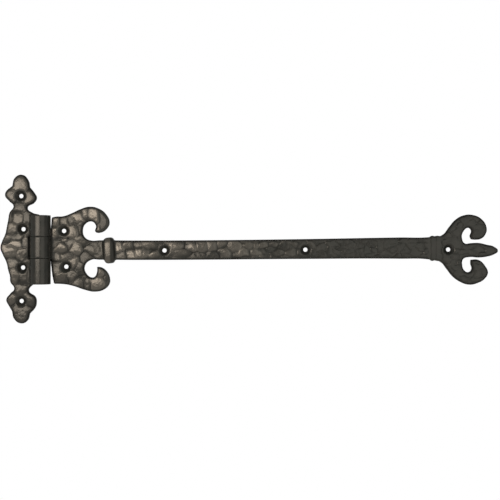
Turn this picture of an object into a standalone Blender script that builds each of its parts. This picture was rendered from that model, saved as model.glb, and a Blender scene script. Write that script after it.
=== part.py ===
"""Cast-iron strap hinge: a jamb plate with trefoil ends, a long strap that ends in a fleur-de-lis,
and the pin that joins them.

Axes: X runs along the strap, Z up along the pin, and the front faces -Y. Both leaves have their backs
on the plane y = 0. The origin is on the jamb plate's back, in the middle of its four screw holes.
"""

import math

import bmesh
import bpy
from mathutils import Matrix, Vector

MM = 0.001

# Driving dimensions, in millimetres.
BARREL_RADIUS = 9.2          # the barrel touches the back plane, so the pin stands this far in front of it
PIN_X = 17.5
PIN_Y = -BARREL_RADIUS
PIN_RADIUS = 4.0
PIN_CLEARANCE = 0.3
BARREL_BOTTOM = -31.7
BARREL_TOP = 31.0
LOWER_BREAK = -8.1           # where the lower and the middle knuckle meet
UPPER_BREAK = 11.6           # where the middle and the upper knuckle meet
KNUCKLE_GAP = 0.4
KNUCKLE_FILLET = 3.2
JAMB_THICKNESS = 4.6
STRAP_THICKNESS = 4.4
EDGE_ROUNDING = 0.8
KNUCKLE_ROUNDING = 1.8
WEB_STOP = 1.0               # a leaf's web ends this short of the pin's axis, inside the eye
WEB_INSET = 0.5              # and it is this much shorter than its knuckle at either end
SLOT_EDGE_X = 6.0            # the jamb plate's edge beside the strap's knuckle
HEAD_EDGE_X = 25.35          # the strap's head starts here, just clear of the round of the jamb's knuckles
SCREW_RADIUS = 2.05
SCREW_HEAD_RADIUS = 4.9      # a 90 degree countersink for a No. 8 screw
PEEN_RADIUS = 4.8            # the pin's ends are hammered out into the mouths of the bore
PEEN_DEPTH = 1.2
COLLAR_X = 79.2
COLLAR_Z = -0.9
COLLAR_LENGTH = 24.0
COLLAR_WIDTH = 11.2
COLLAR_FOOT = 0.4            # its underside clears the door by this much
COLLAR_SPRING = 2.9          # the height over the door where its straight sides end and its crown starts
COLLAR_HEIGHT = 8.2
COLLAR_CROWN = 3.2           # a superellipse's exponent: 2 is a plain round, and more is flatter on top
COLLAR_END = 3.6             # the same for the round of its ends
COLLAR_SLANT = 6.0           # degrees, the lower end towards the fleur-de-lis
REED_XS = (375.0, 379.6)
REED_Z = 1.1
REED_LENGTH = 23.4
REED_WIDTH = 4.0
REED_SPRING = 3.4
REED_HEIGHT = 4.9
REED_CROWN = 2.0
REED_END = 8.0
END_FLAT = 0.3               # a moulding's end faces are this part of its width

# Screw holes, as (x, z).
JAMB_SCREWS = ((-1.8, 49.0), (0.2, 18.6), (-0.2, -16.6), (-1.5, -47.3))
STRAP_SCREWS = ((37.4, 17.0), (39.5, -15.8), (129.6, -0.9), (258.9, -0.2), (390.0, -0.1))

CURVE_STEPS = 6
ROUND_STEPS = 48
SCREW_STEPS = 24
FILLET_STEPS = 6
MOULDING_STEPS = 16
CUT_MARGIN = 1.0             # how far a cutter runs past the faces that it cuts
UP = Vector((0, 0, 1))
FRONT = Vector((0, -1, 0))

# Outlines, as (x, z) points that a smooth curve passes through. A third value marks a sharp corner.
CORNER = "corner"

JAMB_OUTLINE = (
    # upper trefoil: its top lobe, outer lobe and neck
    (-0.9, 68.5), (-7.4, 65.2), (-9.4, 58.1, CORNER), (-14.9, 53.8), (-16.3, 49.4), (-12.7, 44.5),
    (-8.4, 39.5), (-11.8, 33.9),
    # outer edge, which widens to a blunt point
    (-13.2, 27.2), (-14.5, 20.3), (-16.2, 13.1), (-19.0, 6.9), (-20.3, 1.2), (-18.0, -4.9),
    (-14.3, -13.5), (-13.2, -19.1), (-11.6, -24.2), (-11.2, -29.7),
    # lower trefoil
    (-7.7, -36.0), (-11.1, -40.1), (-15.1, -45.9), (-13.1, -51.2), (-9.9, -56.5, CORNER),
    (-7.9, -63.6), (-0.9, -67.8), (4.3, -64.9), (6.3, -58.7, CORNER), (10.9, -53.6), (12.3, -49.4),
    (11.4, -43.6), (5.2, -37.9), (8.1, -33.1),
    # the webs under the lower and the upper knuckle, with the slot for the strap's knuckle between them
    (12.2, BARREL_BOTTOM + WEB_INSET, CORNER), (PIN_X - WEB_STOP, BARREL_BOTTOM + WEB_INSET, CORNER),
    (PIN_X - WEB_STOP, LOWER_BREAK - WEB_INSET, CORNER), (SLOT_EDGE_X, LOWER_BREAK - WEB_INSET, CORNER),
    (SLOT_EDGE_X, UPPER_BREAK + WEB_INSET, CORNER), (PIN_X - WEB_STOP, UPPER_BREAK + WEB_INSET, CORNER),
    (PIN_X - WEB_STOP, BARREL_TOP - WEB_INSET, CORNER), (14.2, 32.2, CORNER),
    # upper trefoil's inner lobe
    (8.5, 33.7), (4.0, 38.2), (10.2, 42.8), (12.5, 47.3), (10.2, 52.1), (6.2, 57.0, CORNER), (5.0, 63.0),
)

STRAP_OUTLINE = (
    # head: its top edge, and the upper scroll
    (26.8, 29.3, CORNER), (30.4, 30.1), (36.8, 30.4), (45.3, 33.4), (52.5, 36.8), (61.3, 39.2),
    (70.2, 37.1), (76.3, 32.0), (79.3, 24.9), (77.0, 19.2), (71.1, 15.4), (66.4, 16.3), (67.0, 21.4),
    (63.8, 25.4), (57.6, 23.9), (54.7, 17.1), (56.9, 10.8), (62.5, 8.2),
    # upper edge of the strap
    (70.5, 8.4), (100.0, 8.2), (162.0, 8.4), (257.0, 9.5), (345.0, 11.0), (372.5, 11.3),
    # upper petal, which curls back to a blunt heel
    (384.4, 13.2), (390.7, 20.6), (396.5, 27.2), (404.4, 31.4), (412.9, 31.5), (420.3, 27.7),
    (424.7, 20.5), (424.2, 14.6), (419.8, 9.8), (414.9, 8.9), (410.7, 9.3, CORNER), (409.7, 12.3),
    (410.9, 17.1), (408.4, 19.8), (403.4, 16.3), (402.3, 10.2), (404.8, 5.6),
    # middle petal
    (410.5, 5.8), (417.5, 6.0), (424.9, 4.4), (431.9, 2.4), (435.2, -1.4), (431.5, -4.6), (424.4, -6.7),
    (417.5, -7.4), (409.4, -7.0),
    # lower petal
    (403.4, -8.8), (402.4, -13.8), (404.9, -19.6), (408.7, -20.8), (411.3, -17.8), (410.3, -13.3),
    (410.3, -9.4, CORNER), (417.6, -9.6), (423.5, -15.2), (426.0, -21.2), (423.4, -26.6),
    (416.6, -30.8), (408.8, -32.3), (400.6, -29.6), (393.4, -24.3), (388.0, -17.4), (382.9, -11.6),
    # lower edge of the strap
    (372.7, -9.2), (345.0, -8.5), (257.0, -8.7), (162.0, -9.4), (100.0, -9.6), (70.5, -9.4),
    # the lower scroll, and the head's lower edge
    (62.3, -9.6), (56.7, -14.8), (57.7, -21.7), (64.4, -25.7), (67.8, -21.8), (68.2, -15.8, CORNER),
    (72.2, -16.5), (76.7, -20.0), (79.5, -25.8), (79.2, -31.6), (74.5, -36.6), (66.1, -38.7), (56.6, -37.0),
    (46.6, -33.5), (38.5, -31.9), (28.7, -31.4, CORNER),
    # the head's edge beside the barrel, with the web under the middle knuckle
    (27.1, -23.4), (26.4, -17.2), (25.7, -12.6), (HEAD_EDGE_X, LOWER_BREAK + WEB_INSET, CORNER),
    (PIN_X + WEB_STOP, LOWER_BREAK + WEB_INSET, CORNER),
    (PIN_X + WEB_STOP, UPPER_BREAK - WEB_INSET, CORNER),
    (HEAD_EDGE_X, UPPER_BREAK - WEB_INSET, CORNER), (HEAD_EDGE_X, 16.0, CORNER), (26.2, 23.0),
)


def clear_scene():
    for obj in list(bpy.data.objects):
        bpy.data.objects.remove(obj)


def new_collection(name):
    collection = bpy.data.collections.new(name)
    bpy.context.scene.collection.children.link(collection)
    return collection


def new_material(name, colour, roughness, metallic):
    material = bpy.data.materials.new(name)
    material.use_nodes = True
    shader = material.node_tree.nodes["Principled BSDF"]
    shader.inputs["Base Color"].default_value = (*colour, 1.0)
    shader.inputs["Roughness"].default_value = roughness
    shader.inputs["Metallic"].default_value = metallic
    return material


def mesh_from(obj, name, collection):
    """Turn a curve, or an object with modifiers, into a welded mesh object in world coordinates."""
    evaluated = obj.evaluated_get(bpy.context.evaluated_depsgraph_get())
    mesh = bpy.data.meshes.new_from_object(evaluated)
    mesh.transform(obj.matrix_world)
    bpy.data.objects.remove(obj)
    shape = bmesh.new()
    shape.from_mesh(mesh)
    bmesh.ops.remove_doubles(shape, verts=shape.verts, dist=0.00001)
    bmesh.ops.recalc_face_normals(shape, faces=shape.faces)
    shape.to_mesh(mesh)
    shape.free()
    result = bpy.data.objects.new(name, mesh)
    collection.objects.link(result)
    return result


def extruded(name, points, depth, placement, collection, smooth=False):
    """A solid of the given outline, `depth` thick along the placement's Z axis, from its XY plane up."""
    curve = bpy.data.curves.new(name, "CURVE")
    curve.dimensions = "2D"
    curve.fill_mode = "BOTH"
    curve.extrude = depth * MM / 2
    curve.resolution_u = CURVE_STEPS
    spline = curve.splines.new("BEZIER" if smooth else "POLY")
    spline.use_cyclic_u = True
    if smooth:
        spline.bezier_points.add(len(points) - 1)
        for knot, (x, y, *kind) in zip(spline.bezier_points, points):
            knot.co = (x * MM, y * MM, 0.0)
            knot.handle_left_type = "VECTOR" if kind else "AUTO"
            knot.handle_right_type = knot.handle_left_type
    else:
        spline.points.add(len(points) - 1)
        for knot, (x, y) in zip(spline.points, points):
            knot.co = (x * MM, y * MM, 0.0, 1.0)
    obj = bpy.data.objects.new(name, curve)
    obj.matrix_world = placement @ Matrix.Translation((0, 0, depth * MM / 2))
    collection.objects.link(obj)
    bpy.context.view_layer.update()
    return mesh_from(obj, name, collection)


def turned(name, profile, steps, placement, collection):
    """A solid turned about the placement's Z axis. The profile is (radius, height), from the top down."""
    mesh = bpy.data.meshes.new(name)
    rows = [(radius * MM, 0.0, height * MM) for radius, height in profile]
    mesh.from_pydata(rows, [(i, i + 1) for i in range(len(rows) - 1)], [])
    obj = bpy.data.objects.new(name, mesh)
    obj.matrix_world = placement
    screw = obj.modifiers.new("Turn", "SCREW")
    screw.axis = "Z"
    screw.steps = steps
    screw.render_steps = steps
    screw.use_merge_vertices = True
    screw.merge_threshold = 0.00001
    collection.objects.link(obj)
    bpy.context.view_layer.update()
    return mesh_from(obj, name, collection)


def combine(target, tool, operation, cutters):
    """Join a tool to the target, or cut it away, and keep the tool as a hidden guide."""
    modifier = target.modifiers.new(tool.name, "BOOLEAN")
    modifier.operation = operation
    modifier.solver = "MANIFOLD"
    modifier.object = tool
    tool.hide_render = True
    tool.display_type = "WIRE"
    for collection in tool.users_collection:
        collection.objects.unlink(tool)
    cutters.objects.link(tool)


def facing_front(x=0.0, z=0.0):
    """Placement whose XY plane is the back plane at (x, z), and whose Z axis points to the front."""
    return Matrix.Translation((x * MM, 0, z * MM)) @ Matrix.Rotation(math.radians(90), 4, "X")


def along_pin(z):
    return Matrix.Translation((PIN_X * MM, PIN_Y * MM, z * MM))


def round_rims(obj, facing, width, segments):
    """Round the edges around the flat faces that look along one of the given directions."""
    shape = bmesh.new()
    shape.from_mesh(obj.data)
    shape.normal_update()

    def is_cap(face):
        return any(face.normal.dot(direction) > 0.99 for direction in facing)

    rim = [edge for edge in shape.edges if sum(is_cap(face) for face in edge.link_faces) == 1]
    bmesh.ops.bevel(shape, geom=rim, offset=width * MM, segments=segments, profile=0.5,
                    affect="EDGES", clamp_overlap=True)
    shape.to_mesh(obj.data)
    shape.free()


def arc(centre, radius, start, end, steps):
    """Points on an arc, from the start angle to the end angle in degrees."""
    cx, cy = centre
    angles = [math.radians(start + (end - start) * i / steps) for i in range(steps + 1)]
    return [(cx + radius * math.cos(a), cy + radius * math.sin(a)) for a in angles]


def knuckle_section(side, thickness):
    """Section about the pin: the round eye, and the fillet that runs down to its leaf's front face.

    `side` is -1 for a leaf on the left of the pin and 1 for one on the right. The rest of the section
    lies inside the leaf, at the middle of its thickness.
    """
    front = BARREL_RADIUS - thickness
    middle = BARREL_RADIUS - thickness / 2
    fillet_y = front - KNUCKLE_FILLET
    fillet_x = math.sqrt((BARREL_RADIUS + KNUCKLE_FILLET) ** 2 - fillet_y ** 2)
    touch = math.degrees(math.atan2(fillet_y, fillet_x))
    start = math.degrees(math.asin(middle / BARREL_RADIUS))
    eye = arc((0, 0), BARREL_RADIUS, start, 360 + touch, ROUND_STEPS)
    fillet = arc((fillet_x, fillet_y), KNUCKLE_FILLET, 180 + touch, 90, FILLET_STEPS)
    points = eye + fillet[1:] + [(fillet_x, middle)]
    return [(side * x, y) for x, y in points]


def knuckle(name, bottom, top, side, thickness, collection):
    eye = extruded(name, knuckle_section(side, thickness), top - bottom, along_pin(bottom), collection)
    round_rims(eye, (UP, -UP), KNUCKLE_ROUNDING, 2)
    return eye


def drill_screws(leaf, centres, thickness, cutters):
    """Countersunk holes, open at the back."""
    cone = SCREW_HEAD_RADIUS - SCREW_RADIUS
    profile = ((0.0, thickness + CUT_MARGIN), (SCREW_HEAD_RADIUS + CUT_MARGIN, thickness + CUT_MARGIN),
               (SCREW_RADIUS, thickness - cone), (SCREW_RADIUS, -CUT_MARGIN), (0.0, -CUT_MARGIN))
    for number, (x, z) in enumerate(centres, 1):
        hole = turned(f"{leaf.name}_screw_hole_{number}", profile, SCREW_STEPS, facing_front(x, z), cutters)
        combine(leaf, hole, "DIFFERENCE", cutters)


def bore(leaf, cutters):
    """The hole for the pin, right through, with the countersunk mouths that its hammered ends fill."""
    radius = PIN_RADIUS + PIN_CLEARANCE
    mouth = PEEN_RADIUS + PIN_CLEARANCE
    spread = (mouth - radius) / PEEN_DEPTH * CUT_MARGIN
    profile = ((0.0, BARREL_TOP + CUT_MARGIN), (mouth + spread, BARREL_TOP + CUT_MARGIN),
               (radius, BARREL_TOP - PEEN_DEPTH), (radius, BARREL_BOTTOM + PEEN_DEPTH),
               (mouth + spread, BARREL_BOTTOM - CUT_MARGIN), (0.0, BARREL_BOTTOM - CUT_MARGIN))
    hole = turned(f"{leaf.name}_bore", profile, ROUND_STEPS, along_pin(0), cutters)
    combine(leaf, hole, "DIFFERENCE", cutters)


def make_jamb_plate(parts, cutters, iron):
    """The fixed leaf: a plate with a trefoil at each end, and the upper and lower knuckles."""
    plate = extruded("jamb_plate", JAMB_OUTLINE, JAMB_THICKNESS, facing_front(), parts, smooth=True)
    round_rims(plate, (FRONT,), EDGE_ROUNDING, 1)
    spans = {"lower_knuckle": (BARREL_BOTTOM, LOWER_BREAK - KNUCKLE_GAP / 2),
             "upper_knuckle": (UPPER_BREAK + KNUCKLE_GAP / 2, BARREL_TOP)}
    for name, (bottom, top) in spans.items():
        combine(plate, knuckle(name, bottom, top, -1, JAMB_THICKNESS, cutters), "UNION", cutters)
    bore(plate, cutters)
    drill_screws(plate, JAMB_SCREWS, JAMB_THICKNESS, cutters)
    plate.data.materials.append(iron)
    return plate


def make_strap(parts, cutters, iron):
    """The swinging leaf: a scrolled head with the middle knuckle, a collar, the strap and a fleur-de-lis."""
    strap = extruded("strap", STRAP_OUTLINE, STRAP_THICKNESS, facing_front(), parts, smooth=True)
    round_rims(strap, (FRONT,), EDGE_ROUNDING, 1)
    middle = knuckle("middle_knuckle", LOWER_BREAK + KNUCKLE_GAP / 2, UPPER_BREAK - KNUCKLE_GAP / 2, 1,
                     STRAP_THICKNESS, cutters)
    combine(strap, middle, "UNION", cutters)
    slanted = Matrix.Translation((COLLAR_X * MM, 0, COLLAR_Z * MM))
    slanted = slanted @ Matrix.Rotation(math.radians(-COLLAR_SLANT), 4, "Y")
    heights = (COLLAR_FOOT, COLLAR_SPRING, COLLAR_HEIGHT)
    collar = moulding("collar", (COLLAR_WIDTH, COLLAR_LENGTH), heights, (COLLAR_CROWN, COLLAR_END), slanted,
                      cutters)
    combine(strap, collar, "UNION", cutters)
    heights = (STRAP_THICKNESS / 2, REED_SPRING, REED_HEIGHT)
    for number, x in enumerate(REED_XS, 1):
        upright = Matrix.Translation((x * MM, 0, REED_Z * MM))
        reed = moulding(f"reed_{number}", (REED_WIDTH, REED_LENGTH), heights, (REED_CROWN, REED_END), upright,
                        cutters)
        combine(strap, reed, "UNION", cutters)
    bore(strap, cutters)
    drill_screws(strap, STRAP_SCREWS, STRAP_THICKNESS, cutters)
    strap.data.materials.append(iron)
    return strap


def superellipse(angle, exponent):
    """(x, y) on the superellipse of half-width 1 and half-height 1, for an angle in degrees."""
    cosine, sine = math.cos(math.radians(angle)), math.sin(math.radians(angle))
    return (math.copysign(abs(cosine) ** (2 / exponent), cosine),
            math.copysign(abs(sine) ** (2 / exponent), sine))


def moulding(name, size, heights, exponents, placement, collection):
    """A crowned bar with rounded ends, along the placement's Z axis, with its foot towards +Y.

    `size` is its width and length, `heights` are its foot, the spring of its crown and its top, and
    `exponents` are those of the superellipses of its crown and of its ends.
    """
    width, length = size
    foot, spring, top = heights
    crown, end = exponents
    steps = MOULDING_STEPS
    last = math.degrees(math.acos(END_FLAT ** (end / 2)))
    rings = []
    for station in range(steps + 1):
        swell, along = superellipse(-last + 2 * last * station / steps, end)
        half = width / 2 * swell
        ring = [(-half, -foot, along * length / 2)]
        for step in range(steps + 1):
            across, up = superellipse(180 - 180 * step / steps, crown)
            ring.append((across * half, -spring - (top - spring) * up * swell, along * length / 2))
        ring.append((half, -foot, along * length / 2))
        rings.append(ring)
    count = len(rings[0])
    faces = [list(range(count)), list(range(steps * count, (steps + 1) * count))]
    for start in range(0, steps * count, count):
        for here in range(count):
            there = (here + 1) % count
            faces.append([start + here, start + there, start + count + there, start + count + here])
    mesh = bpy.data.meshes.new(name)
    mesh.from_pydata([Vector(point) * MM for ring in rings for point in ring], [], faces)
    obj = bpy.data.objects.new(name, mesh)
    obj.matrix_world = placement
    collection.objects.link(obj)
    bpy.context.view_layer.update()
    return mesh_from(obj, name, collection)


def make_pin(parts, steel):
    """The steel pin, held by its hammered ends."""
    profile = ((0.0, BARREL_TOP), (PEEN_RADIUS, BARREL_TOP), (PIN_RADIUS, BARREL_TOP - PEEN_DEPTH),
               (PIN_RADIUS, BARREL_BOTTOM + PEEN_DEPTH), (PEEN_RADIUS, BARREL_BOTTOM), (0.0, BARREL_BOTTOM))
    pin = turned("hinge_pin", profile, ROUND_STEPS, along_pin(0), parts)
    pin.data.shade_smooth()
    pin.data.set_sharp_from_angle(angle=math.radians(30))
    pin.data.materials.append(steel)
    return pin


def set_origin_on_pin(obj):
    """Put a swinging piece's origin on the joint's axis, and leave its shape where it is."""
    origin = Matrix.Translation((PIN_X * MM, PIN_Y * MM, 0))
    obj.data.transform(origin.inverted())
    obj.matrix_world = origin


def main():
    clear_scene()
    parts = new_collection("strap_hinge")
    cutters = new_collection("cutters")
    jamb_iron = new_material("jamb_black_iron", (0.020, 0.018, 0.016), 0.42, 0.0)
    strap_iron = new_material("strap_black_iron", (0.020, 0.018, 0.016), 0.42, 0.0)
    steel = new_material("pin_black_steel", (0.030, 0.028, 0.026), 0.35, 0.3)
    make_jamb_plate(parts, cutters, jamb_iron)
    strap = make_strap(parts, cutters, strap_iron)
    set_origin_on_pin(strap)
    set_origin_on_pin(make_pin(parts, steel))


main()
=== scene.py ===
"""Looks for the strap hinge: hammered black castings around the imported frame, a soft studio and a camera.

Lengths in the tables are millimetres in the row frame: X along the strap, Z up the pin, front at -Y.
"""

import math

import bpy
import numpy as np
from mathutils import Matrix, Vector, noise
from mathutils.kdtree import KDTree


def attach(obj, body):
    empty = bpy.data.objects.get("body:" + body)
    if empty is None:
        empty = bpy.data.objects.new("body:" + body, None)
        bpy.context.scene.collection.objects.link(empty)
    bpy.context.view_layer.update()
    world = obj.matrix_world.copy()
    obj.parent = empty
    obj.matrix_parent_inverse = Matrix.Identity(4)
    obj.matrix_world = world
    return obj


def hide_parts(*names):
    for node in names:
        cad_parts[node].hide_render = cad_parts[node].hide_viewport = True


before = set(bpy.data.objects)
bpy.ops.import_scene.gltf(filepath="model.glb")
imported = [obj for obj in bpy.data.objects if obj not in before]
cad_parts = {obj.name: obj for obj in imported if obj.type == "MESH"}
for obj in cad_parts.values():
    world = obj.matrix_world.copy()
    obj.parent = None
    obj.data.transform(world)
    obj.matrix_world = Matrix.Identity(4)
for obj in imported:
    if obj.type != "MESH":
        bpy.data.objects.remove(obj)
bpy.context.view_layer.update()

MM = 0.001

PIN = np.array((17.5, -9.2))          # the pin's axis, as (x, y)
BARREL_RADIUS = 9.2
BARREL_TOP = 31.0
BARREL_BOTTOM = -31.7
JAMB_THICKNESS = 4.6
STRAP_THICKNESS = 4.4
SCREW_RADIUS = 1.95                   # the paint narrows the holes a little
SCREW_HEAD_RADIUS = 4.9
JAMB_SCREWS = ((-1.8, 49.0), (0.2, 18.6), (-0.2, -16.6), (-1.5, -47.3))
STRAP_SCREWS = ((37.4, 17.0), (39.5, -15.8), (129.6, -0.9), (258.9, -0.2), (390.0, -0.1))
COLLAR_X = 79.2
COLLAR_Z = -0.9
COLLAR_SLOPE = 0.105                  # the solid's collar leans this far along the strap for each step down
COLLAR_UPRIGHT = 0.04                 # and the casting's collar stands this much straighter
JAMB_KNUCKLES = ((BARREL_BOTTOM, -8.3), (11.8, BARREL_TOP))
STRAP_KNUCKLES = ((-7.9, 11.4),)
REED_SPAN = (372.0, 382.6)

# Lumps of the hammered surface: x, z, size along x, size along z, height, and how far the top is rubbed.
JAMB_LUMPS = (
    (-2.0, 61.8, 8.0, 8.0, 0.9, 0.7), (-11.4, 49.2, 5.0, 5.5, 0.7, 0.5), (8.0, 48.2, 5.0, 5.5, 0.6, 0.6),
    (-3.1, 38.6, 4.2, 4.0, 0.6, 0.3), (-3.7, 28.6, 5.0, 5.0, 0.9, 0.5), (-11.2, 29.0, 2.6, 4.5, 0.4, 0.4),
    (4.2, 27.0, 4.0, 4.6, 0.2, 0.2), (-11.0, 18.0, 5.0, 5.5, 0.5, 0.6), (7.0, 19.0, 3.0, 6.0, 0.0, 0.4),
    (-4.4, 11.2, 4.5, 3.2, 0.3, 0.7), (-14.5, 9.6, 4.0, 4.0, 0.3, 0.7), (-6.6, 4.8, 8.0, 3.6, 0.7, 0.9),
    (3.4, 5.8, 4.0, 5.0, 0.3, 0.7), (-12.0, -1.6, 6.2, 6.0, 0.9, 0.8), (0.4, -4.4, 5.0, 5.0, 0.4, 0.6),
    (-9.6, -12.0, 5.0, 4.0, 0.4, 0.6), (5.4, -12.6, 3.0, 5.0, 0.1, 0.5), (-6.8, -23.4, 3.4, 6.0, 0.7, 0.6),
    (1.8, -24.2, 3.4, 5.0, 0.4, 0.3), (8.6, -24.0, 3.4, 6.0, 0.1, 0.2), (-3.5, -37.2, 4.2, 4.4, 0.6, 0.3),
    (-11.4, -46.2, 4.8, 5.4, 0.6, 0.6), (7.0, -46.2, 4.8, 5.4, 0.6, 0.3), (-2.4, -57.4, 8.0, 8.0, 0.8, 0.2),
)
HEAD_LUMPS = (
    (30.2, 26.6, 5.0, 4.0, 0.7, 1.0), (38.0, 26.6, 5.0, 3.6, 0.3, 0.8), (28.8, 13.6, 3.6, 5.0, 0.6, 1.0),
    (46.9, 16.9, 4.6, 4.8, 0.8, 0.8), (53.2, 19.6, 2.4, 5.0, 0.1, 0.2), (44.4, 27.0, 3.6, 3.0, 0.2, 0.3),
    (51.4, 29.8, 5.6, 4.0, 0.7, 0.9), (58.0, 32.6, 3.0, 4.4, 0.4, 0.9), (67.8, 32.4, 6.4, 6.0, 0.9, 1.0),
    (76.0, 26.0, 3.2, 5.0, 0.7, 0.9), (72.4, 19.8, 3.8, 3.6, 0.6, 1.0), (39.5, 8.8, 1.9, 1.8, 0.6, 1.0),
    (29.6, 4.6, 3.6, 3.6, 0.4, 0.7), (34.4, 1.6, 5.4, 3.6, 0.7, 0.9), (43.0, 5.2, 3.6, 4.0, 0.4, 0.4),
    (48.9, 1.4, 5.0, 4.6, 0.7, 0.7), (54.2, 8.0, 4.4, 4.4, 0.6, 0.5), (64.0, 0.6, 5.4, 4.0, 0.7, 0.3),
    (57.6, -7.6, 3.6, 4.0, 0.0, 0.35), (30.8, -7.0, 4.0, 3.4, 0.3, 0.6), (40.6, -6.4, 5.0, 3.2, 0.5, 0.5),
    (47.2, -11.4, 4.0, 4.4, 0.7, 0.7), (52.6, -17.0, 3.4, 4.4, 0.4, 0.3), (31.4, -17.6, 3.4, 5.4, 0.4, 0.5),
    (36.2, -25.0, 5.0, 4.4, 0.6, 0.5), (45.8, -24.0, 4.6, 4.4, 0.5, 0.4), (52.0, -29.6, 4.8, 4.4, 0.5, 0.4),
    (59.6, -31.2, 3.4, 4.0, 0.3, 0.5), (69.2, -30.0, 6.2, 5.0, 0.9, 0.9), (77.0, -27.4, 2.8, 6.0, 0.2, 0.6),
    (71.8, -21.0, 4.0, 3.8, 1.0, 1.0),
)
STRAP_LUMPS = (
    (88.4, 2.2, 4.4, 5.4, 0.6, 1.0), (90.4, -5.4, 5.0, 3.6, 0.5, 0.7), (96.8, 3.6, 5.0, 3.0, 0.4, 0.8),
    (99.0, -4.4, 5.4, 3.6, 0.6, 1.0), (105.4, 4.4, 5.0, 2.4, 0.3, 0.7), (110.4, -3.2, 7.0, 3.2, 0.7, 1.0),
    (116.2, 4.4, 5.6, 3.0, 0.4, 0.8), (119.0, -5.2, 4.6, 2.6, 0.4, 0.9), (141.8, 3.4, 5.4, 3.4, 0.6, 0.9),
    (147.4, -3.2, 6.0, 3.0, 0.4, 0.6), (154.6, 2.2, 5.0, 3.8, 0.6, 0.9), (163.2, 3.0, 5.4, 3.6, 0.6, 0.7),
    (160.6, -5.6, 7.4, 2.6, -0.1, 0.3), (174.4, 3.6, 4.0, 4.0, 0.5, 0.8), (181.8, 5.4, 3.4, 3.8, 0.6, 0.9),
    (184.6, -2.4, 5.0, 3.6, 0.6, 0.8), (172.4, -5.2, 5.6, 3.0, 0.1, 0.5), (194.0, 1.8, 5.4, 4.4, 0.5, 0.9),
)
HAMMER_SEED = 7
RANDOM_LUMPS_FROM = 202.0
RANDOM_LUMPS_TO = 436.0
RANDOM_ROWS = (-34.0, 35.0)
RANDOM_PITCH = (8.6, 5.4)             # the usual distance between hammer marks along and across the strap
RANDOM_SHIFT = 0.42                   # in units of that distance
RANDOM_SIZE = (5.2, 3.6)
RANDOM_SCALE = (0.75, 1.3)
RANDOM_HEIGHT = (0.05, 0.6)
RANDOM_RUB = (0.6, 1.0)               # how far the tops of the random lumps are rubbed

LUMP_DOME = 0.34                      # how far a lump falls off from its middle to its border
LUMP_LEAN = 0.07                      # the steepest slope of a lump's top
WARP = 1.3                            # how far noise bends the lumps' borders
CREASE_WIDTH = 0.40                   # in units of a lump's own size
CREASE_DEPTH = 0.30
CREASE_SHADE = 0.75                   # how dark the painted shade gets along the bottom of a crease
RIM_SHADE = 0.75                      # and the painted shade along the leaf's outline
RIM_WIDTH = 1.7
WORN_EDGE = (0.8, 3.0)                # how far in from the outline the rubbing starts, and is whole
WORN_FADE = (300.0, 190.0)            # the rubbing is whole before the second place and gone past the first, and the crease shade thins out over the same stretch
GAP_CLOSING = 0.18                    # how far each knuckle's end is stretched towards the next one
SLOT_CLOSING = 1.6                    # how far the back of the jamb plate's slot leans towards the knuckle

# Zones, as the places where an effect starts, is whole, is still whole and has ended, or only the first two.
SLOT_ZONE_X = (5.0, 5.9, 7.4, 8.2)
SLOT_ZONE_Z = (-9.4, -8.9, 12.5, 13.0)
TREFOIL_ZONE_Z = (34.0, 42.0)
SCROLL_ZONE_X = (46.0, 56.0, 84.0, 90.0)
SCROLL_ZONE_Z = (10.0, 14.0)
PETAL_ZONE_X = (392.0, 400.0)
# The collar's painted highlight band, on the side towards the pin and the light, and its painted shade band
# on the far side.
PAINTED_HIGHLIGHT_BAND_X = (-3.7, -2.9, 0.9, 1.7)    # this and the next are measured from the collar's middle
PAINTED_SHADE_BAND_X = (1.0, 1.8, 5.0, 5.9)
PAINTED_HIGHLIGHT_BAND = 0.75                    # the strength of the collar's painted highlight band and of its painted shade band
PAINTED_SHADE_BAND = 0.35

PLATE_ROUNDING = 1.6                  # radius of the edges, and what the softer parts add to it
TREFOIL_ROUNDING = 1.8
STRAP_ROUNDING = 1.3
SCROLL_ROUNDING = 1.1
PETAL_ROUNDING = 1.2
STRAP_VOXEL = 0.62
JAMB_VOXEL = 0.5

PAINT_COLOURS = ((0.3, (0.016, 0.017, 0.015, 1.0)), (0.72, (0.034, 0.031, 0.027, 1.0)))
# Painted shade: the paint darkens towards this in the creases, along the outline and on the collar's far
# side
PAINTED_SHADE_COLOUR = (0.008, 0.008, 0.008, 1.0)
# Rubbed brown metal on the lumps' tops; the collar's painted highlight uses it too
WEAR_AND_HIGHLIGHT_COLOUR = (0.150, 0.132, 0.112, 1.0)
REFLECTION_TINT = (1.0, 0.93, 0.84, 1.0)
WEAR_AND_HIGHLIGHT_METAL = 0.6
PAINTED_SHADE_METAL = 0.8                    # metal in the painted shade, which kills the paint's pale reflection there
PAINT_ROUGHNESS = (0.16, 0.24)
PAINTED_SHADE_ROUGHNESS = 0.75
MOTTLE_SCALE = 160.0
GRAIN_SCALE = 1100.0
GRAIN_STRENGTH = 0.25
GRAIN_HEIGHT = 0.0003                 # metres

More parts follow.
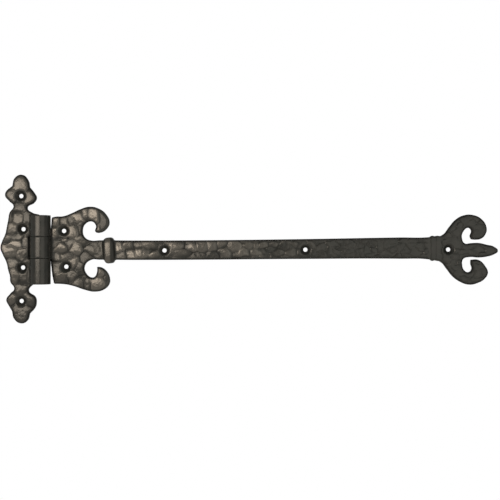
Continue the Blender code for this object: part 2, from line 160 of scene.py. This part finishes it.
# The studio, in metres and watts.
WARM = (1.0, 0.94, 0.86)
COOL = (0.97, 1.0, 0.97)
LIGHTS = (                            # name, place, target, size, energy, colour
    ("soft_box", (-0.345, -0.80, 0.1025), (-0.345, 0.0, 0.1025), (0.80, 0.275), 2.3, WARM),
    ("soft_core", (-0.30, -0.79, 0.06), (-0.30, 0.0, 0.06), (0.44, 0.20), 0.35, WARM),
    ("front_fill", (0.75, -1.0, 0.1), (0.35, 0.0, 0.0), (1.0, 0.9), 1.9, COOL),
)
DIM_COLOUR = (0.96, 1.0, 0.97, 1.0)
DIM_STRENGTH = 0.34
FLOOR_Z = -0.45
FLOOR_REACH = 4.0
FLOOR_BACK = 0.75
FLOOR_COLOUR = (0.85, 0.85, 0.84, 1.0)
FLOOR_GLOW = (1.0, 1.0, 0.99, 1.0)
FLOOR_GLOW_STRENGTH = 0.2
CAMERA_PLACE = (0.2081, -0.85, -0.0005)
VIEW_WIDTH = 0.458                    # what the camera takes in, at the leaves' fronts
FRONT_Y = -0.003
SENSOR_WIDTH = 36.0                   # millimetres


def smoothstep(low, high, values):
    t = np.clip((values - low) / (high - low), 0.0, 1.0)
    return t * t * (3.0 - 2.0 * t)


def within(zone, values):
    """1 between the zone's two middle places, falling to 0 at the outer ones."""
    start, whole, still, end = zone
    return smoothstep(start, whole, values) * smoothstep(end, still, values)


def noise_field(points, scale, seed):
    """Smooth noise from -1 to 1 at (n, 2) points, with features about 1 / scale long."""
    shift = Vector((seed * 13.7, seed * 5.3, seed * 9.1))
    return np.array([noise.noise(Vector((x * scale, z * scale, 0.0)) + shift) for x, z in points])


def remeshed(node, name, voxel):
    """A fine, even copy of a CAD node's surface, as a new object."""
    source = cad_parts[node]
    obj = bpy.data.objects.new(name, source.data.copy())
    bpy.context.scene.collection.objects.link(obj)
    obj.data.materials.clear()
    weld = obj.modifiers.new("Weld", "WELD")
    weld.merge_threshold = 0.00001
    remesh = obj.modifiers.new("Remesh", "REMESH")
    remesh.mode = "VOXEL"
    remesh.voxel_size = voxel * MM
    bpy.context.view_layer.update()
    mesh = bpy.data.meshes.new_from_object(obj.evaluated_get(bpy.context.evaluated_depsgraph_get()))
    obj.modifiers.clear()
    obj.data = mesh
    mesh.name = name
    return obj


def coordinates(mesh):
    flat = np.empty(len(mesh.vertices) * 3)
    mesh.vertices.foreach_get("co", flat)
    return flat.reshape(-1, 3) / MM


def normals(mesh):
    flat = np.empty(len(mesh.vertices) * 3)
    mesh.vertices.foreach_get("normal", flat)
    return flat.reshape(-1, 3)


def store(mesh, points):
    mesh.vertices.foreach_set("co", (points * MM).ravel())
    mesh.update()


def relaxed(mesh, points, weight, passes):
    """The points after averaging each with its neighbours, as far as its weight says."""
    edges = np.empty(len(mesh.edges) * 2, dtype=np.int64)
    mesh.edges.foreach_get("vertices", edges)
    a, b = edges.reshape(-1, 2).T
    count = np.bincount(edges, minlength=len(points))[:, None]
    for _ in range(passes):
        total = np.zeros_like(points)
        np.add.at(total, a, points[b])
        np.add.at(total, b, points[a])
        points = points + (total / count - points) * 0.5 * weight[:, None]
    return points


def edge_distance(points, facing, thickness, screws):
    """Distance from each vertex to the leaf's outline, seen from the front, without its screw holes."""
    y = points[:, 1]
    side = (np.abs(facing[:, 1]) < 0.5) & (y > -thickness * 0.8) & (y < -thickness * 0.2)
    for x, z in screws:
        side &= np.hypot(points[:, 0] - x, points[:, 2] - z) > SCREW_HEAD_RADIUS
    rim = points[side]
    tree = KDTree(len(rim))
    for index, (x, _, z) in enumerate(rim):
        tree.insert((x, z, 0.0), index)
    tree.balance()
    return np.array([tree.find((x, z, 0.0))[2] for x, _, z in points])


def hammered(points, lumps, seed):
    """Height, the wide and the narrow strength of the creases, and rub at (n, 2) points, for lumps that meet
    in creases; the narrow one places the painted shade.
    """
    rng = np.random.default_rng(seed)
    bend = np.stack((noise_field(points, 0.16, seed), noise_field(points, 0.16, seed + 1)), 1)
    warped = points + WARP * bend
    nearest = np.full(len(points), np.inf)
    second = np.full(len(points), np.inf)
    height = np.zeros(len(points))
    tone = np.zeros(len(points))
    for x, z, along, across, rise, rub in lumps:
        dx, dz = warped[:, 0] - x, warped[:, 1] - z
        reach = np.hypot(dx / along, dz / across)
        lean = rng.uniform(-LUMP_LEAN, LUMP_LEAN, 2)
        top = rise * (1.0 - LUMP_DOME * np.minimum(reach, 1.4) ** 2)
        top += lean[0] * np.clip(dx, -along, along) + lean[1] * np.clip(dz, -across, across)
        closer = reach < nearest
        second = np.where(closer, nearest, np.minimum(second, reach))
        height = np.where(closer, top, height)
        tone = np.where(closer, rub, tone)
        nearest = np.where(closer, reach, nearest)
    gap = np.minimum(second, 3.0) - nearest
    broken = smoothstep(-0.35, 0.25, noise_field(points, 0.13, seed + 5))
    groove = np.exp(-(gap / CREASE_WIDTH) ** 2) * (0.25 + 0.75 * broken)
    shade_line = np.exp(-(gap / (CREASE_WIDTH * 0.6)) ** 2) * (0.15 + 0.85 * broken)
    return height, groove, shade_line, tone


def eye_distance(points, knuckles):
    """Distance from the pin's axis beside a leaf's own knuckles, and far off above and below them."""
    reach = np.hypot(points[:, 0] - PIN[0], points[:, 1] - PIN[1])
    away = np.full(len(points), np.inf)
    for bottom, top in knuckles:
        away = np.minimum(away, np.maximum(bottom - points[:, 2], points[:, 2] - top))
    return reach + 3.0 * BARREL_RADIUS * smoothstep(0.4, 2.4, away)


def screw_fade(points, screws, inner, outer):
    """0 at the screw holes, rising to 1 away from them."""
    fade = np.ones(len(points))
    for x, z in screws:
        fade = np.minimum(fade, smoothstep(inner, outer, np.hypot(points[:, 0] - x, points[:, 2] - z)))
    return fade


def trued_holes(points, screws, thickness):
    """Pull the vertices of the screw holes onto their true cylinders and countersinks."""
    sink = SCREW_HEAD_RADIUS - SCREW_RADIUS
    for x, z in screws:
        dx, dz = points[:, 0] - x, points[:, 2] - z
        radius = np.maximum(np.hypot(dx, dz), 1e-6)
        depth = points[:, 1] + thickness
        cone = SCREW_HEAD_RADIUS - np.clip(depth, 0.0, sink)
        off = radius - cone
        near = (np.abs(off) < 0.55) & (depth > 0.35) & (points[:, 1] < -0.4)
        scale = np.where(near, cone / radius, 1.0)
        points[:, 0] = x + dx * scale
        points[:, 2] = z + dz * scale
    return points


def trued_barrel(points, knuckles):
    """Pull the knuckles' vertices onto the true cylinder."""
    dx, dy = points[:, 0] - PIN[0], points[:, 1] - PIN[1]
    radius = np.maximum(np.hypot(dx, dy), 1e-6)
    inside = np.zeros(len(points), dtype=bool)
    for bottom, top in knuckles:
        inside |= (points[:, 2] > bottom + 1.6) & (points[:, 2] < top - 1.6)
    near = inside & (np.abs(radius - BARREL_RADIUS) < 0.3)
    scale = np.where(near, BARREL_RADIUS / radius, 1.0)
    points[:, 0] = PIN[0] + dx * scale
    points[:, 1] = PIN[1] + dy * scale
    return points


def closed_gaps(points, ends):
    """Stretch the knuckles' ends towards the next knuckle, so that they nearly touch as on castings that
    have seen long use.
    """
    reach = np.hypot(points[:, 0] - PIN[0], points[:, 1] - PIN[1])
    eye = smoothstep(BARREL_RADIUS + 1.5, BARREL_RADIUS + 0.5, reach)
    for end, direction in ends:
        near = smoothstep(2.5, 0.6, np.abs(points[:, 2] - end))
        points[:, 2] += direction * GAP_CLOSING * near * eye
    return points


def random_lumps():
    """Hammer marks over the plain end of the strap, in staggered rows with seeded shifts."""
    rng = np.random.default_rng(HAMMER_SEED)
    lumps = []
    along, across = RANDOM_PITCH
    for row, z in enumerate(np.arange(*RANDOM_ROWS, across)):
        for x in np.arange(RANDOM_LUMPS_FROM + (row % 2) * along / 2, RANDOM_LUMPS_TO, along):
            shift = rng.uniform(-RANDOM_SHIFT, RANDOM_SHIFT, 2) * RANDOM_PITCH
            size = rng.uniform(*RANDOM_SCALE, 2) * RANDOM_SIZE
            rise, rub = rng.uniform(*RANDOM_HEIGHT), rng.uniform(*RANDOM_RUB)
            lumps.append((x + shift[0], z + shift[1], *size, rise, rub))
    return lumps


def set_attribute(mesh, name, values):
    attribute = mesh.attributes.new(name, "FLOAT", "POINT")
    attribute.data.foreach_set("value", values.astype(np.float32))


def edge_drop(rim, rounding, reach):
    """How far the front falls off towards the outline, for edges of the given rounding."""
    inward = 1.0 - np.clip(rim / rounding, 0.0, 1.0)
    drop = rounding * 0.55 * (1.0 - np.sqrt(1.0 - inward ** 2 * 0.98))
    return drop * smoothstep(BARREL_RADIUS + 0.4, BARREL_RADIUS + 3.0, reach)


def softness(points, quiet, reach, thickness):
    """1 on the mouldings and on the fillets beside the barrel, whose remeshed surface is smoothed."""
    mouldings = (1.0 - quiet(points)) * (points[:, 1] < -thickness * 0.5)
    beside = (reach > BARREL_RADIUS + 0.25) & (reach < BARREL_RADIUS + 6.0)
    fillets = beside & (points[:, 1] < -thickness + 0.2)
    return np.maximum(mouldings, fillets.astype(float))


def make_casting(node, name, body, voxel, thickness, screws, lumps, seed, knuckles, ends,
                 quiet, edge_radius, rubbed, dull):
    """A leaf with its hammered front: the functions from `quiet` on take the vertices' x, y, z; the last two
    give a painted highlight and painted shade.
    """
    obj = remeshed(node, name, voxel)
    mesh = obj.data
    points = coordinates(mesh)
    flat = points[:, (0, 2)]
    reach = eye_distance(points, knuckles)
    rim = edge_distance(points, normals(mesh), thickness, screws)
    height, groove, shade_line, tone = hammered(flat, lumps, seed)
    loud = quiet(points) * smoothstep(BARREL_RADIUS + 0.5, BARREL_RADIUS + 3.0, reach)
    loud *= screw_fade(points, screws, SCREW_HEAD_RADIUS - 0.6, SCREW_HEAD_RADIUS + 1.6)

    grain = 0.10 * noise_field(flat, 0.45, seed + 2) + 0.16 * noise_field(flat, 0.14, seed + 3)
    relief = (height - CREASE_DEPTH * groove + grain) * loud - edge_drop(rim, edge_radius(points), reach)
    relief = np.where(points[:, 1] < -thickness - 0.25, 0.0, relief)
    soft = softness(points, quiet, reach, thickness)
    points[:, 1] *= 1.0 + relief / thickness
    points = trued_holes(points, screws, thickness)
    points = relaxed(mesh, points, soft, 8)
    points = trued_barrel(points, knuckles)
    points = closed_gaps(points, ends)
    points = shut_slot(points) if node == "jamb_plate" else straightened_collar(points)
    store(mesh, points)
    mesh.shade_smooth()

    front = smoothstep(-0.35 * thickness, -0.75 * thickness, points[:, 1])
    # The painted crease shade thins out along the strap, away from the pin.
    shade_line *= 1.0 - 0.7 * smoothstep(*WORN_FADE[::-1], points[:, 0])
    # Painted shade: darker paint along the creases and around the outline.
    shade = np.maximum(CREASE_SHADE * shade_line, RIM_SHADE * np.exp(-(rim / RIM_WIDTH) ** 2))
    set_attribute(mesh, "crease", np.maximum(shade * loud * front, dull(points)))
    patchy = 0.22 * noise_field(flat, 0.30, seed + 6) + 0.16 * noise_field(flat, 0.11, seed + 7)
    worn = smoothstep(-0.05, 0.55, height * loud - CREASE_DEPTH * groove + patchy) * loud * tone
    worn *= smoothstep(*WORN_EDGE, rim) * smoothstep(*WORN_FADE, points[:, 0])
    # The lumps' rubbed tops, joined by the collar's painted highlight.
    set_attribute(mesh, "worn", np.maximum(worn * front, rubbed(points)))
    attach(obj, body)
    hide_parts(node)
    return obj


def shut_slot(points):
    """Lean the back of the jamb plate's slot towards the knuckle, which shuts the crack beside it."""
    beside = within(SLOT_ZONE_X, points[:, 0]) * within(SLOT_ZONE_Z, points[:, 2])
    points[:, 0] += beside * SLOT_CLOSING * smoothstep(-4.2, 0.0, points[:, 1])
    return points


def straightened_collar(points):
    """Take part of the collar's lean out."""
    near = smoothstep(10.0, 7.5, np.abs(points[:, 0] - COLLAR_X))
    near *= smoothstep(14.5, 13.0, np.abs(points[:, 2]))
    points[:, 0] += COLLAR_UPRIGHT * (points[:, 2] - COLLAR_Z) * near
    return points


def jamb_quiet(points):
    """The whole jamb plate is hammered."""
    return np.ones(len(points))


def jamb_edge_radius(points):
    """Softer edges on the trefoils than along the plate."""
    return PLATE_ROUNDING + TREFOIL_ROUNDING * smoothstep(*TREFOIL_ZONE_Z, np.abs(points[:, 2]))


def unmarked(points):
    """No painted highlight or painted shade besides the hammer marks'."""
    return np.zeros(len(points))


def strap_painted_highlight(points):
    """A painted highlight: a straight band of brown metal on the collar's crown, on the side towards the pin
    and the light.
    """
    across = points[:, 0] - COLLAR_X
    crown = within(PAINTED_HIGHLIGHT_BAND_X, across)
    raised = smoothstep(-4.6, -5.6, points[:, 1])
    return PAINTED_HIGHLIGHT_BAND * crown * raised * smoothstep(12.0, 10.4, np.abs(points[:, 2] - COLLAR_Z))


def strap_painted_shade(points):
    """Painted shade on the collar's side away from the pin and the light."""
    across = points[:, 0] - COLLAR_X + (COLLAR_SLOPE - COLLAR_UPRIGHT) * (points[:, 2] - COLLAR_Z)
    side = within(PAINTED_SHADE_BAND_X, across)
    return PAINTED_SHADE_BAND * side * smoothstep(-STRAP_THICKNESS, -STRAP_THICKNESS - 1.0, points[:, 1])


def strap_quiet(points):
    """0 on the collar and the reeds, which were moulded smooth, and 1 elsewhere."""
    across = points[:, 0] - COLLAR_X + COLLAR_SLOPE * (points[:, 2] - COLLAR_Z)
    collar = smoothstep(5.8, 7.4, np.abs(across))
    middle = (REED_SPAN[0] + REED_SPAN[1]) / 2
    half = (REED_SPAN[1] - REED_SPAN[0]) / 2
    reeds = smoothstep(half, half + 1.6, np.abs(points[:, 0] - middle))
    return np.minimum(collar, reeds)


def strap_edge_radius(points):
    """Softer edges on the scrolls and petals than along the strap."""
    scrolls = within(SCROLL_ZONE_X, points[:, 0]) * smoothstep(*SCROLL_ZONE_Z, np.abs(points[:, 2]))
    petals = smoothstep(*PETAL_ZONE_X, points[:, 0])
    return STRAP_ROUNDING + SCROLL_ROUNDING * scrolls + PETAL_ROUNDING * petals


def node_group(material, kinds):
    """Fresh shader nodes, by name, and a linking function."""
    material.use_nodes = True
    tree = material.node_tree
    tree.nodes.clear()
    made = {}
    for name, kind in kinds.items():
        made[name] = tree.nodes.new(kind)
    return made, lambda a, out, b, into: tree.links.new(made[a].outputs[out], made[b].inputs[into])


def black_iron(name):
    """Satin black paint on cast iron: brown metal showing on the high places and a painted highlight on the
    collar, with painted shade in the creases, along the outline and on the collar's far side.
    """
    material = bpy.data.materials.new(name)
    nodes, link = node_group(material, {
        "out": "ShaderNodeOutputMaterial", "paint": "ShaderNodeBsdfPrincipled",
        "place": "ShaderNodeTexCoord", "mottle": "ShaderNodeTexNoise", "grain": "ShaderNodeTexNoise",
        "colour": "ShaderNodeValToRGB", "crease": "ShaderNodeAttribute", "dark": "ShaderNodeMix",
        "rough": "ShaderNodeMapRange", "rougher": "ShaderNodeMix", "bump": "ShaderNodeBump",
        "worn": "ShaderNodeAttribute", "rubbed": "ShaderNodeMix", "metal": "ShaderNodeMath",
        "dull": "ShaderNodeMath", "either": "ShaderNodeMath",
    })
    link("place", "Object", "mottle", "Vector")
    link("place", "Object", "grain", "Vector")
    nodes["mottle"].inputs["Scale"].default_value = MOTTLE_SCALE
    nodes["mottle"].inputs["Detail"].default_value = 5.0
    nodes["grain"].inputs["Scale"].default_value = GRAIN_SCALE
    nodes["grain"].inputs["Detail"].default_value = 3.0
    for element, (position, colour) in zip(nodes["colour"].color_ramp.elements, PAINT_COLOURS):
        element.position = position
        element.color = colour
    link("mottle", "Fac", "colour", "Fac")
    # Painted shade from the mesh attribute: darker, more metal and rougher paint.
    nodes["crease"].attribute_name = "crease"
    nodes["dark"].data_type = "RGBA"
    nodes["dark"].inputs["B"].default_value = PAINTED_SHADE_COLOUR
    link("crease", "Fac", "dark", "Factor")
    link("colour", "Color", "dark", "A")
    # Rubbed brown metal on the lumps' tops, and the collar's painted highlight.
    nodes["worn"].attribute_name = "worn"
    nodes["rubbed"].data_type = "RGBA"
    nodes["rubbed"].inputs["B"].default_value = WEAR_AND_HIGHLIGHT_COLOUR
    link("worn", "Fac", "rubbed", "Factor")
    link("dark", "Result", "rubbed", "A")
    link("rubbed", "Result", "paint", "Base Color")
    nodes["metal"].operation = "MULTIPLY"
    nodes["metal"].inputs[1].default_value = WEAR_AND_HIGHLIGHT_METAL
    link("worn", "Fac", "metal", 0)
    nodes["dull"].operation = "MULTIPLY"
    nodes["dull"].inputs[1].default_value = PAINTED_SHADE_METAL
    link("crease", "Fac", "dull", 0)
    nodes["either"].operation = "MAXIMUM"
    link("metal", 0, "either", 0)
    link("dull", 0, "either", 1)
    link("either", 0, "paint", "Metallic")
    nodes["rough"].inputs["From Min"].default_value = 0.3
    nodes["rough"].inputs["From Max"].default_value = 0.7
    nodes["rough"].inputs["To Min"].default_value = PAINT_ROUGHNESS[0]
    nodes["rough"].inputs["To Max"].default_value = PAINT_ROUGHNESS[1]
    link("mottle", "Fac", "rough", "Value")
    nodes["rougher"].data_type = "FLOAT"
    nodes["rougher"].inputs["B"].default_value = PAINTED_SHADE_ROUGHNESS
    link("crease", "Fac", "rougher", "Factor")
    link("rough", "Result", "rougher", "A")
    link("rougher", "Result", "paint", "Roughness")
    nodes["bump"].inputs["Strength"].default_value = GRAIN_STRENGTH
    nodes["bump"].inputs["Distance"].default_value = GRAIN_HEIGHT
    link("grain", "Fac", "bump", "Height")
    link("bump", "Normal", "paint", "Normal")
    nodes["paint"].inputs["Specular Tint"].default_value = REFLECTION_TINT
    link("paint", "BSDF", "out", "Surface")
    return material


def area_light(name, place, target, size, energy, colour):
    light = bpy.data.lights.new(name, "AREA")
    light.shape = "RECTANGLE"
    light.size, light.size_y = size
    light.energy = energy
    light.color = colour
    obj = bpy.data.objects.new(name, light)
    obj.location = place
    obj.rotation_euler = (Vector(target) - Vector(place)).to_track_quat("-Z", "Y").to_euler()
    obj.visible_camera = False
    bpy.context.scene.collection.objects.link(obj)


def backdrop():
    """A world that is white to the camera and dim to the object."""
    scene = bpy.context.scene
    scene.view_settings.view_transform = "Standard"
    world = bpy.data.worlds.new("studio")
    scene.world = world
    world.use_nodes = True
    tree = world.node_tree
    tree.nodes.clear()
    out = tree.nodes.new("ShaderNodeOutputWorld")
    mix = tree.nodes.new("ShaderNodeMixShader")
    path = tree.nodes.new("ShaderNodeLightPath")
    dim = tree.nodes.new("ShaderNodeBackground")
    white = tree.nodes.new("ShaderNodeBackground")
    dim.inputs["Color"].default_value = DIM_COLOUR
    dim.inputs["Strength"].default_value = DIM_STRENGTH
    white.inputs["Strength"].default_value = 1.0
    white.inputs["Color"].default_value = (1.0, 1.0, 1.0, 1.0)
    tree.links.new(path.outputs["Is Camera Ray"], mix.inputs["Fac"])
    tree.links.new(dim.outputs["Background"], mix.inputs[1])
    tree.links.new(white.outputs["Background"], mix.inputs[2])
    tree.links.new(mix.outputs["Shader"], out.inputs["Surface"])


def pale_floor():
    corners = [(-FLOOR_REACH, -FLOOR_REACH, FLOOR_Z), (FLOOR_REACH, -FLOOR_REACH, FLOOR_Z),
               (FLOOR_REACH, FLOOR_BACK, FLOOR_Z), (-FLOOR_REACH, FLOOR_BACK, FLOOR_Z)]
    floor_mesh = bpy.data.meshes.new("floor")
    floor_mesh.from_pydata(corners, [], [(0, 1, 2, 3)])
    floor = bpy.data.objects.new("floor", floor_mesh)
    bpy.context.scene.collection.objects.link(floor)
    pale = bpy.data.materials.new("floor_pale")
    pale.use_nodes = True
    paint = pale.node_tree.nodes["Principled BSDF"]
    paint.inputs["Base Color"].default_value = FLOOR_COLOUR
    paint.inputs["Roughness"].default_value = 0.9
    paint.inputs["Emission Color"].default_value = FLOOR_GLOW
    paint.inputs["Emission Strength"].default_value = FLOOR_GLOW_STRENGTH
    floor_mesh.materials.append(pale)


def front_camera():
    """Square to the leaves' fronts, looking along +Y."""
    camera_data = bpy.data.cameras.new("camera")
    camera = bpy.data.objects.new("camera", camera_data)
    camera.location = CAMERA_PLACE
    camera.rotation_euler = (math.radians(90), 0.0, 0.0)
    camera_data.sensor_width = SENSOR_WIDTH
    camera_data.lens = SENSOR_WIDTH * (FRONT_Y - CAMERA_PLACE[1]) / VIEW_WIDTH
    camera_data.clip_start = 0.01
    bpy.context.scene.collection.objects.link(camera)
    bpy.context.scene.camera = camera


iron_jamb = black_iron("jamb_black_iron")
iron_strap = black_iron("strap_black_iron")
jamb = make_casting(
    node="jamb_plate", name="jamb_plate_casting", body="jamb", voxel=JAMB_VOXEL,
    thickness=JAMB_THICKNESS, screws=JAMB_SCREWS, lumps=JAMB_LUMPS, seed=3, quiet=jamb_quiet,
    edge_radius=jamb_edge_radius, rubbed=unmarked, dull=unmarked, knuckles=JAMB_KNUCKLES,
    ends=((JAMB_KNUCKLES[0][1], 1), (JAMB_KNUCKLES[1][0], -1)))
jamb.data.materials.append(iron_jamb)
strap = make_casting(
    node="strap", name="strap_casting", body="leaf", voxel=STRAP_VOXEL,
    thickness=STRAP_THICKNESS, screws=STRAP_SCREWS, lumps=HEAD_LUMPS + STRAP_LUMPS + tuple(random_lumps()),
    seed=11, quiet=strap_quiet, edge_radius=strap_edge_radius, rubbed=strap_painted_highlight, dull=strap_painted_shade,
    knuckles=STRAP_KNUCKLES, ends=((STRAP_KNUCKLES[0][0], -1), (STRAP_KNUCKLES[0][1], 1)))
strap.data.materials.append(iron_strap)
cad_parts["hinge_pin"].data.materials.clear()
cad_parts["hinge_pin"].data.materials.append(black_iron("pin_black_steel"))
backdrop()
for light in LIGHTS:
    area_light(*light)
pale_floor()
front_camera()
